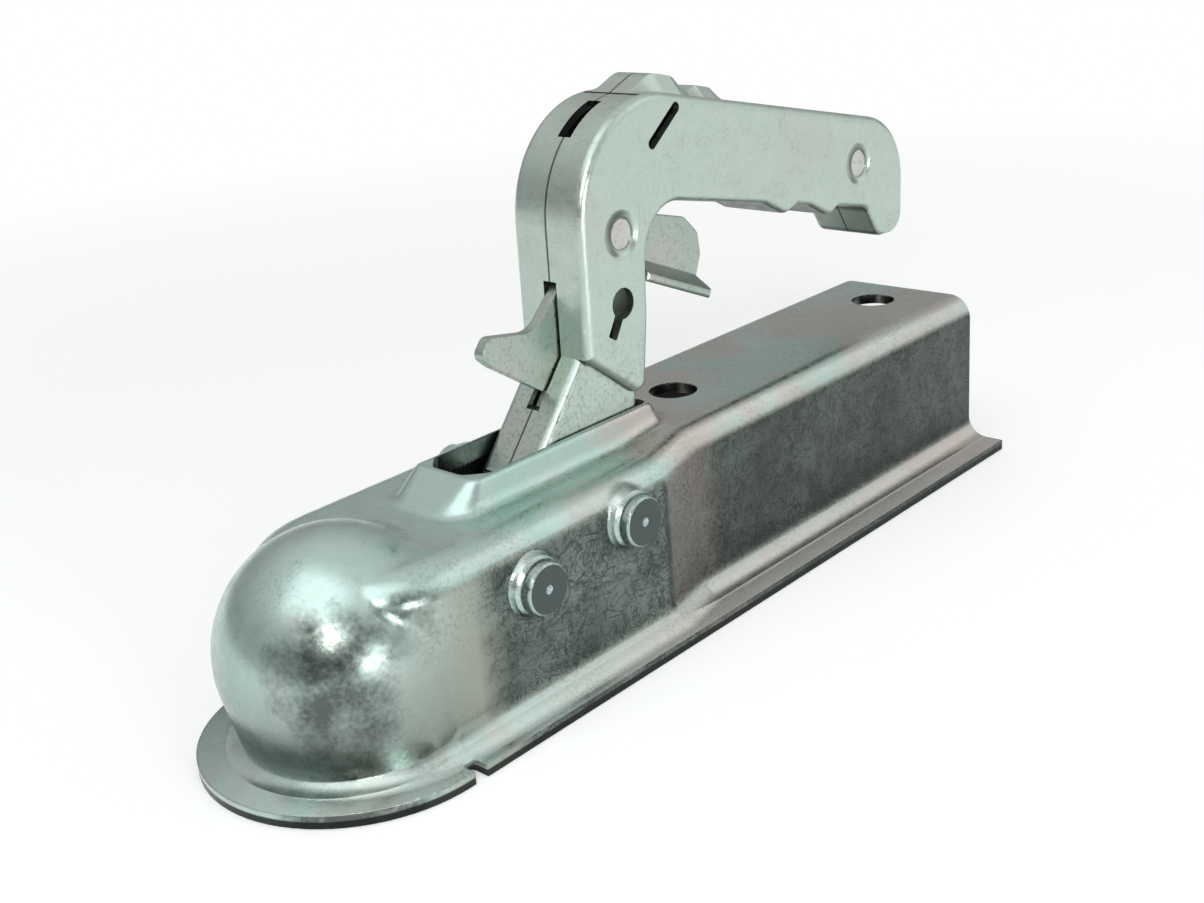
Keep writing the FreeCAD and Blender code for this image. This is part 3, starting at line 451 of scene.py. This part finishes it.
def painted_dark_reflection(tree, place, spot):
    """Share of a painted dark reflection with a ragged edge on the dome's near front, where it faces the
    dark side of the room.
    """
    toward_dark_side = ramp(tree, vector_maths(tree, "DOT_PRODUCT", object_normal(tree), DOME_DARK_REFLECTION), 0.80, 0.97)
    ragged = maths(tree, "SUBTRACT", noise(tree, place, 120.0, detail=8.0), 0.5)
    speckle = maths(tree, "SUBTRACT", noise(tree, place, 900.0, detail=4.0), 0.5)
    edge = maths(tree, "ADD", ragged, times(tree, speckle, 0.45))
    reach = maths(tree, "ADD", toward_dark_side, times(tree, edge, 1.6))
    ahead = ramp(tree, spot["X"], DOME_END - 14 * MM, DOME_END, 1.0, 0.0)
    return times(tree, ramp(tree, reach, 0.26, 1.05, 0.0, 0.92), ahead)


def dull_plate(tree, place, spot, plating):
    """Duller plate of the walls in dark clouds, browner at the waist and darker to the rear, with a painted
    shade line along the waist's fold.
    """
    clouds = cloud(tree, place, 60.0, (0.38, 0.62), detail=7.0, swirl=0.3)
    colour = mixed(tree, clouds, dimmed(plating.wall_colour, 0.65), dimmed(plating.wall_colour, 1.20))
    rear = ramp(tree, spot["X"], WAIST_END, WAIST_END + 6 * MM, 0.0, 0.6)
    colour = mixed(tree, rear, colour, dimmed(plating.wall_colour, 0.40))
    waist = ramp(tree, spot["X"], WAIST_START, WAIST_START + 1 * MM, 0.0, 0.75)
    waist = times(tree, waist, ramp(tree, spot["X"], WAIST_END, WAIST_END + 9 * MM, 1.0, 0.0))
    colour = mixed(tree, waist, colour, dimmed(plating.warm_colour, 0.42))
    # Painted shade: a thin dark line along the fold at the waist's start
    from_fold = maths(tree, "ABSOLUTE", maths(tree, "SUBTRACT", spot["X"], WAIST_START - 1 * MM))
    fold_shade = ramp(tree, from_fold, 0.2 * MM, 1.6 * MM, 0.55, 0.0)
    return mixed(tree, fold_shade, colour, plating.scratch_and_shade_colour)


def wall_shares(tree, place, spot, normal):
    """Shares of the smooth wall beside the dome and the rough wall behind it, below the shoulders."""
    wall = ramp(tree, maths(tree, "ABSOLUTE", normal["Y"]), 0.88, 0.985)
    wall = times(tree, wall, ramp(tree, spot["Z"], WALL_TOP - 2 * MM, WALL_TOP, 1.0, 0.0))
    drift = times(tree, noise(tree, place, 70.0), 8 * MM)
    drifted = maths(tree, "ADD", spot["X"], drift)
    smooth = ramp(tree, spot["X"], -12 * MM, DOME_END - 4 * MM, 0.0, 0.9)
    rough = ramp(tree, drifted, DOME_END, DOME_END + 8 * MM)
    return times(tree, wall, smooth), times(tree, wall, rough)


def wall_marks(tree, place, spot, rough):
    """Share of the dark hair lines and scores on the rough wall, faint at the waist."""
    net = times(tree, hair_lines(tree, place, 6.5 * MM, 0.32 * MM, 0.47), 0.9)
    fine_net = times(tree, hair_lines(tree, place, 3.1 * MM, 0.26 * MM, 0.50), 0.7)
    marks = larger(tree, larger(tree, net, fine_net), scored(tree, place, WALL_SCORES, 0.50))
    ahead = ramp(tree, spot["X"], WAIST_START - 1 * MM, WAIST_START, 1.0, 0.45)
    behind = ramp(tree, spot["X"], WAIST_END, WAIST_END + 8 * MM, 0.45, 1.0)
    shown = times(tree, times(tree, rough, 0.75), larger(tree, ahead, behind))
    return times(tree, marks, shown)


def dark_grain(tree, place, crystals, rough):
    """Share of the fine dark grain, in patches and thicker on the rough wall."""
    patches = cloud(tree, place, 50.0, (0.45, 0.62), least=0.10, most=0.60)
    grain = times(tree, ramp(tree, crystals, 0.50, 0.64), patches)
    return times(tree, grain, ramp(tree, rough, 0.0, 1.0, 0.35, 1.1))


def flange_fall(tree, spot):
    """1 inside the flange's root and down to 0 at its edge, round the nose and along both sides."""
    joined = tree.nodes.new("ShaderNodeCombineXYZ")
    ahead = larger(tree, maths(tree, "SUBTRACT", FLANGE_NOSE, spot["X"]), 0.0)
    set_input(tree, joined, "X", ahead)
    set_input(tree, joined, "Y", spot["Y"])
    from_middle = vector_maths(tree, "LENGTH", joined.outputs["Vector"])
    return ramp(tree, from_middle, FLANGE_EDGE - FLANGE_ROLL, FLANGE_EDGE, 1.0, 0.0)


def edge_radius(tree, place):
    """Radius that softens the housing's edges, larger on the raised bosses round the through rivets."""
    near = None
    for name in ("claw_rivet", "handle_rivet"):
        centre, radius = disc(name)
        away = dent(tree, place, centre, radius + 4 * MM, radius + 6 * MM)
        here = maths(tree, "SUBTRACT", 1.0, away)
        near = here if near is None else larger(tree, near, here)
    return ramp(tree, near, 0.0, 1.0, 0.6 * MM, 2.0 * MM)


def pressing_finish(plating):
    """Housing: bright plate on rounds and top, duller scratched walls, painted shade inside and a dark cut
    rim that also carries painted contact shadow.
    """
    material, tree, shader = new_material("plated_pressing")
    place = object_place(tree)
    spot = parts_of(tree, place)
    normal = parts_of(tree, object_normal(tree))
    crystals = noise(tree, place, CRYSTALS, detail=5.0)
    smooth, rough = wall_shares(tree, place, spot, normal)
    # Painted shade on the faces inside the sheet
    inside = times(tree, inside_faces(tree, spot, normal), 0.85)
    # Dark cut rim, its lower half also painted contact shadow against the floor
    rim_and_contact_shade = ramp(tree, spot["Z"], FLANGE_TOP - 1.5 * MM, FLANGE_TOP - 1.1 * MM, 0.95, 0.0)

    colour = bright_plate(tree, place, spot, normal, plating)
    colour = mixed(tree, smooth, colour, plating.olive_colour)
    colour = mixed(tree, rough, colour, dull_plate(tree, place, spot, plating))
    colour = mixed(tree, dark_grain(tree, place, crystals, rough), colour, plating.scratch_and_shade_colour)
    colour = mixed(tree, wall_marks(tree, place, spot, rough), colour, plating.scratch_and_shade_colour)
    colour = mixed(tree, inside, colour, plating.scratch_and_shade_colour)
    colour = mixed(tree, rim_and_contact_shade, colour, dimmed(plating.wall_colour, 0.12))

    satin = cloud(tree, place, 300.0, (0.3, 0.7), most=0.14, detail=4.0)
    base = ramp(tree, rough, 0.0, 1.0, plating.roughness, plating.roughness + 0.16)
    coat(tree, shader, colour, maths(tree, "ADD", satin, base))
    layers = (
        (flange_fall(tree, spot), 2.4 * MM, 1.0),
        (noise(tree, place, 150.0, detail=2.0), 0.25 * MM, 0.12),
        (crystals, 0.05 * MM, 0.5),
    )
    relief(tree, shader, layers, edge_radius(tree, place))
    return material


# Handle and small pieces


def dent_shade(tree, place, slope, centre, radius):
    """Share of the painted shade in a rivet's dent, away from the upper front."""
    # Point toward the upper front round which the painted shade lifts
    clean = Vector((centre.x - 0.3 * radius, 0.0, centre.z + 0.3 * radius))
    fading = ramp(tree, slope, 0.0, 1.0, 0.75, 0.0)
    shade = times(tree, fading, dent(tree, place, centre, 0.9 * radius, radius))
    near_unshaded = dent(tree, place, clean, 0.8 * radius, 1.7 * radius)
    return times(tree, shade, maths(tree, "SUBTRACT", 1.0, near_unshaded))


def handle_finish(plating):
    """Handle halves: pale even plate with a fine grain, shallow dents round the rivets, painted shade in
    the dents, along the split and on the inner faces.
    """
    material, tree, shader = new_material("plated_handle")
    place = object_place(tree)
    spot = parts_of(tree, place)
    normal = parts_of(tree, object_normal(tree))
    crystals = noise(tree, place, CRYSTALS, detail=5.0)
    across = maths(tree, "ABSOLUTE", spot["Y"])

    low = ramp(tree, spot["Z"], CREASE_HEIGHT - 6 * MM, CREASE_HEIGHT + 12 * MM, 0.28, 0.06)
    grain = times(tree, ramp(tree, crystals, 0.50, 0.66), low)
    scores = times(tree, scored(tree, place, HANDLE_SCORES, 0.58), 0.15)
    # Painted shade along the split between the two halves
    split = ramp(tree, across, 0.12 * MM, 0.45 * MM, 0.9, 0.0)
    # Painted shade on the inner faces of the halves
    inside = ramp(tree, across, HANDLE_INSIDE, HANDLE_OUTSIDE, 0.85, 0.0)
    inside = times(tree, inside, inside_faces(tree, spot, normal))
    # Dark marks of the grain and scores, and painted shade along the split and on the inner faces
    darks = [grain, scores, split, inside]
    layers = []
    for name in ("neck_rivet", "grip_rivet"):
        centre, radius = disc(name)
        slope = dent(tree, place, centre, radius, 1.75 * radius)
        layers.append((slope, 1.3 * MM, 1.0))
        darks.append(dent_shade(tree, place, slope, centre, radius))

    film = cloud(tree, place, 26.0, (0.50, 0.75), most=0.45, swirl=0.5)
    colour = mixed(tree, film, plating.handle_colour, plating.warm_colour)
    for share in darks:
        colour = mixed(tree, share, colour, plating.scratch_and_shade_colour)

    satin = cloud(tree, place, 400.0, (0.3, 0.7), least=0.02, most=0.16, detail=4.0)
    coat(tree, shader, colour, maths(tree, "ADD", satin, plating.roughness + 0.03))
    layers.append((noise(tree, place, 120.0, detail=2.0), 0.2 * MM, 0.2))
    layers.append((crystals, 0.05 * MM, 0.5))
    relief(tree, shader, layers)
    return material


def tumbled_finish(name, colour, plating, rougher, edge, dull_face=0.0):
    """Small plated pieces: edges rounded by tumbling, a satin grain and, on some, dull flat faces."""
    material, tree, shader = new_material(name)
    place = object_place(tree)
    film = cloud(tree, place, 60.0, (0.45, 0.72), most=0.5, detail=4.0, swirl=0.5)
    tone = mixed(tree, film, colour, plating.warm_colour)
    if dull_face:
        across = maths(tree, "ABSOLUTE", parts_of(tree, object_normal(tree))["Y"])
        face = ramp(tree, across, 0.9, 0.99, 0.0, dull_face)
        tone = mixed(tree, face, tone, dimmed(colour, 0.15))
    pits = cloud(tree, place, CRYSTALS, (0.54, 0.70), most=0.35, detail=5.0)
    tone = mixed(tree, pits, tone, dimmed(colour, 0.2))
    grain = noise(tree, place, 850.0, detail=4.0)
    base = plating.roughness + rougher
    coat(tree, shader, tone, ramp(tree, grain, 0.3, 0.7, base - 0.04, base + 0.12))
    relief(tree, shader, ((grain, 0.05 * MM, 0.5),), edge)
    return material


def forged_finish(plating):
    """Claw: dark scaled skin of a forging, bright where it rubs."""
    material, tree, shader = new_material("forged_skin")
    place = object_place(tree)
    scale = noise(tree, place, 240.0, detail=6.0, swirl=0.6)
    bright = cloud(tree, place, 90.0, (0.58, 0.72), most=0.5, detail=4.0)
    colour = mixed(tree, bright, plating.forged_colour, plating.steel_colour)
    coat(tree, shader, colour, ramp(tree, scale, 0.3, 0.7, 0.35, 0.62), metallic=0.9)
    relief(tree, shader, ((scale, 0.12 * MM, 0.6),), 0.4 * MM)
    return material


def drawn_finish(name, colour, roughness):
    """Turned or drawn steel: fine rings round the piece's axis across the coupling."""
    material, tree, shader = new_material(name)
    streak = stretched(tree, object_place(tree), RING_LENGTHS, (0.0, 0.0, 0.0))
    rings = noise(tree, streak, 1.0)
    tone = mixed(tree, ramp(tree, rings, 0.35, 0.65, 0.0, 0.5), colour, dimmed(colour, 0.55))
    coat(tree, shader, tone, maths(tree, "ADD", times(tree, rings, 0.2), roughness - 0.1))
    relief(tree, shader, ((rings, 0.03 * MM, 0.5),))
    return material


def dress(nodes, material):
    """Gives CAD pieces one finish."""
    for name in nodes:
        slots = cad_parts[name].data.materials
        slots.clear()
        slots.append(material)


# Claw spring


def spring_path(settings):
    """Places along the wire: up the low end, round the bush and forward to the roof."""
    low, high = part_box("claw_spring")
    centre, bush_radius = disc("claw_bush")
    half_wire = settings.wire / 2
    radius = bush_radius + settings.play + half_wire
    width = high.y - low.y - settings.wire
    whole = 2 * math.pi * settings.turns + math.pi / 2
    count = settings.turns * settings.steps
    path = [Vector((centre.x + radius, high.y - half_wire, low.z + half_wire))]
    for index in range(count + 1):
        angle = whole * index / count
        across = high.y - half_wire - width * index / count
        x = centre.x + radius * math.cos(angle)
        z = centre.z + radius * math.sin(angle)
        path.append(Vector((x, across, z)))
    path.append(Vector((low.x + half_wire, low.y + half_wire, high.z - half_wire)))
    return path


def wind_spring(settings):
    """Round wire along the spring's path."""
    curve = bpy.data.curves.new("claw_spring_wire", "CURVE")
    curve.dimensions = "3D"
    curve.bevel_depth = settings.wire / 2
    curve.bevel_resolution = 3
    curve.use_fill_caps = True
    path = spring_path(settings)
    spline = curve.splines.new("POLY")
    spline.points.add(len(path) - 1)
    for point, place in zip(spline.points, path):
        point.co = (*place, 1.0)
    spline.use_smooth = True
    wire = bpy.data.objects.new("claw_spring_wire", curve)
    bpy.context.scene.collection.objects.link(wire)
    return wire


# Stage


def place_camera(scene, settings):
    """Camera at the place, heading, tilt and roll of the view."""
    data = bpy.data.cameras.new("view_camera")
    data.lens = settings.lens
    data.sensor_width = 36.0
    data.clip_start = 0.01
    data.clip_end = 20.0
    camera = bpy.data.objects.new("view_camera", data)
    scene.collection.objects.link(camera)
    flat = math.cos(settings.tilt)
    look = Vector((
        flat * math.cos(settings.heading),
        flat * math.sin(settings.heading),
        -math.sin(settings.tilt),
    ))
    level = look.cross(Vector((0.0, 0.0, 1.0))).normalized()
    right = Matrix.Rotation(settings.roll, 3, look) @ level
    up = right.cross(look)
    camera.matrix_world = Matrix((right, up, -look)).transposed().to_4x4()
    camera.location = settings.camera_place
    scene.camera = camera


def seen_rays(tree):
    """1 for the camera's rays and for those it sees in or through a surface."""
    paths = tree.nodes.new("ShaderNodeLightPath").outputs
    seen = larger(tree, paths["Is Camera Ray"], paths["Is Glossy Ray"])
    return larger(tree, seen, paths["Is Transmission Ray"])


def blended(tree, share, first, second, output):
    """Two shaders mixed by a share, into the output."""
    blend = tree.nodes.new("ShaderNodeMixShader")
    for socket, value in enumerate((share, first, second)):
        tree.links.new(value, blend.inputs[socket])
    tree.links.new(blend.outputs["Shader"], output.inputs["Surface"])


def floor_finish(settings):
    """Pale matt floor, raised a little for the eye, that fades into the white room."""
    material, tree, shader = new_material("pale_floor")
    place = object_place(tree)
    tone = mixed(tree, noise(tree, place, 3.0), settings.floor_colour, dimmed(settings.floor_colour, 0.985))
    coat(tree, shader, tone, 0.9, metallic=0.0)
    shader.inputs["Specular IOR Level"].default_value = 0.1
    lift = tree.nodes.new("ShaderNodeEmission")
    set_input(tree, lift, "Strength", times(tree, seen_rays(tree), settings.floor_lift))
    raised = tree.nodes.new("ShaderNodeAddShader")
    tree.links.new(shader.outputs["BSDF"], raised.inputs[0])
    tree.links.new(lift.outputs["Emission"], raised.inputs[1])
    white = tree.nodes.new("ShaderNodeEmission")
    away = vector_maths(tree, "DISTANCE", place, COUPLING_MIDDLE)
    fade = ramp(tree, away, FADE_START, FADE_END)
    output = next(node for node in tree.nodes if node.type == "OUTPUT_MATERIAL")
    blended(tree, fade, raised.outputs["Shader"], white.outputs["Emission"], output)
    return material


def lay_floor(settings):
    """Pale floor just under the flange."""
    mesh = bpy.data.meshes.new("floor")
    height = FLANGE_UNDERSIDE - FLOOR_GAP
    ways = ((-1, -1), (1, -1), (1, 1), (-1, 1))
    corners = [(FLOOR_REACH * x, FLOOR_REACH * y, height) for x, y in ways]
    mesh.from_pydata(corners, [], [(0, 1, 2, 3)])
    mesh.materials.append(floor_finish(settings))
    floor = bpy.data.objects.new("floor", mesh)
    bpy.context.scene.collection.objects.link(floor)


def light_room(scene, settings):
    """White room: plain for the eye, with a soft rise and one dark side that only the metal sees."""
    world = bpy.data.worlds.new("white_room")
    world.use_nodes = True
    tree = world.node_tree
    tree.nodes.clear()
    output = tree.nodes.new("ShaderNodeOutputWorld")
    way = tree.nodes.new("ShaderNodeTexCoord").outputs["Generated"]
    rise = ramp(tree, parts_of(tree, way)["Z"], 0.25, 0.85, 0.37, 0.80)
    toward = vector_maths(tree, "DOT_PRODUCT", way, DARK_SIDE)
    rise = times(tree, rise, ramp(tree, toward, 0.74, 0.90, 1.0, 0.22))
    plain = tree.nodes.new("ShaderNodeBackground")
    plain.inputs["Strength"].default_value = settings.sky_strength
    seen = tree.nodes.new("ShaderNodeBackground")
    seen.inputs["Color"].default_value = (1.0, 1.0, 1.0, 1.0)
    direct = tree.nodes.new("ShaderNodeLightPath").outputs["Is Camera Ray"]
    set_input(tree, seen, "Strength", larger(tree, direct, rise))
    blended(tree, seen_rays(tree), plain.outputs["Background"], seen.outputs["Background"], output)
    scene.world = world


def hang_lamp(name, place, across, along, power, colour):
    """Soft rectangular lamp that faces the coupling's middle."""
    data = bpy.data.lights.new(name, "AREA")
    data.shape = "RECTANGLE"
    data.size = across
    data.size_y = along
    data.energy = power
    data.color = colour
    lamp = bpy.data.objects.new(name, data)
    bpy.context.scene.collection.objects.link(lamp)
    lamp.location = place
    lamp.rotation_mode = "QUATERNION"
    lamp.rotation_quaternion = (COUPLING_MIDDLE - Vector(place)).to_track_quat("-Z", "Y")


# Operators


class COUPLING_OT_housing(bpy.types.Operator):
    """Finish the pressed housing"""

    bl_idname = "coupling.housing"
    bl_label = "Housing"

    def execute(self, context):
        dress(["housing"], pressing_finish(context.scene.coupling_plating))
        return {"FINISHED"}


class COUPLING_OT_handle(bpy.types.Operator):
    """Finish the two pressed halves of the handle"""

    bl_idname = "coupling.handle"
    bl_label = "Handle halves"

    def execute(self, context):
        dress(["handle_shell_near", "handle_shell_far"], handle_finish(context.scene.coupling_plating))
        return {"FINISHED"}


class COUPLING_OT_stampings(bpy.types.Operator):
    """Finish the trigger, the indicator and the cam plates"""

    bl_idname = "coupling.stampings"
    bl_label = "Stampings"

    def execute(self, context):
        plating = context.scene.coupling_plating
        colour = dimmed(plating.handle_colour, 0.80)
        finish = tumbled_finish("tumbled_plate", colour, plating, 0.08, 0.55 * MM)
        dress(["trigger", "wear_indicator", "cam_plate_near", "cam_plate_far"], finish)
        return {"FINISHED"}


class COUPLING_OT_rivets(bpy.types.Operator):
    """Finish the through rivets and the handle's own rivets"""

    bl_idname = "coupling.rivets"
    bl_label = "Rivets"

    def execute(self, context):
        plating = context.scene.coupling_plating
        upset = tumbled_finish("upset_rivet", plating.rivet_colour, plating, 0.04, 0.8 * MM, 0.96)
        dress(["claw_rivet", "handle_rivet"], upset)
        flush = tumbled_finish("flush_rivet", plating.flush_colour, plating, 0.2, 0.3 * MM)
        dress(["neck_rivet", "grip_rivet"], flush)
        return {"FINISHED"}


class COUPLING_OT_claw(bpy.types.Operator):
    """Finish the forged claw"""

    bl_idname = "coupling.claw"
    bl_label = "Claw"

    def execute(self, context):
        dress(["ball_claw"], forged_finish(context.scene.coupling_plating))
        return {"FINISHED"}


class COUPLING_OT_tubes(bpy.types.Operator):
    """Finish the spacers and the bush"""

    bl_idname = "coupling.tubes"
    bl_label = "Tubes and bush"

    def execute(self, context):
        colour = context.scene.coupling_plating.steel_colour
        names = [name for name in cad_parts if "spacer" in name or name == "claw_bush"]
        dress(names, drawn_finish("drawn_tube", colour, 0.35))
        return {"FINISHED"}


class COUPLING_OT_spring(bpy.types.Operator):
    """Wind the claw's torsion spring from round wire"""

    bl_idname = "coupling.spring"
    bl_label = "Claw spring"

    def execute(self, context):
        wire = wind_spring(context.scene.coupling_spring)
        colour = context.scene.coupling_plating.steel_colour
        wire.data.materials.append(drawn_finish("spring_wire", dimmed(colour, 0.7), 0.3))
        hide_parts("claw_spring")
        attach(wire, "claw")
        return {"FINISHED"}


class COUPLING_OT_stage(bpy.types.Operator):
    """Set the camera, the pale floor and the soft lamps"""

    bl_idname = "coupling.stage"
    bl_label = "Stage"

    def execute(self, context):
        settings = context.scene.coupling_stage
        place_camera(context.scene, settings)
        lay_floor(settings)
        light_room(context.scene, settings)
        for lamp in LAMPS:
            hang_lamp(*lamp)
        context.scene.view_settings.view_transform = "Standard"
        return {"FINISHED"}


class COUPLING_PT_panel(bpy.types.Panel):
    """Lists the coupling's operators and settings"""

    bl_idname = "COUPLING_PT_panel"
    bl_label = "Coupling"
    bl_space_type = "VIEW_3D"
    bl_region_type = "UI"
    bl_category = "Coupling"

    def draw(self, context):
        for operator in OPERATORS:
            self.layout.operator(operator.bl_idname)
        for setting in SETTINGS:
            group = getattr(context.scene, setting)
            box = self.layout.box()
            for name in group.bl_rna.properties.keys():
                if name not in ("rna_type", "name"):
                    box.prop(group, name)


SETTINGS = {
    "coupling_plating": PlatingSettings,
    "coupling_spring": SpringSettings,
    "coupling_stage": StageSettings,
}
OPERATORS = (
    COUPLING_OT_housing,
    COUPLING_OT_handle,
    COUPLING_OT_stampings,
    COUPLING_OT_rivets,
    COUPLING_OT_claw,
    COUPLING_OT_tubes,
    COUPLING_OT_spring,
    COUPLING_OT_stage,
)


def register():
    """Adds the settings, the operators and the panel."""
    for name, group in SETTINGS.items():
        bpy.utils.register_class(group)
        setattr(bpy.types.Scene, name, PointerProperty(type=group))
    for item in (*OPERATORS, COUPLING_PT_panel):
        bpy.utils.register_class(item)


def unregister():
    """Takes them all away again."""
    for item in reversed((*OPERATORS, COUPLING_PT_panel)):
        bpy.utils.unregister_class(item)
    for name, group in reversed(SETTINGS.items()):
        delattr(bpy.types.Scene, name)
        bpy.utils.unregister_class(group)


def main():
    """Builds the dressed coupling."""
    register()
    bpy.ops.coupling.housing()
    bpy.ops.coupling.handle()
    bpy.ops.coupling.stampings()
    bpy.ops.coupling.rivets()
    bpy.ops.coupling.claw()
    bpy.ops.coupling.tubes()
    bpy.ops.coupling.spring()
    bpy.ops.coupling.stage()


if __name__ == "__main__":
    main()
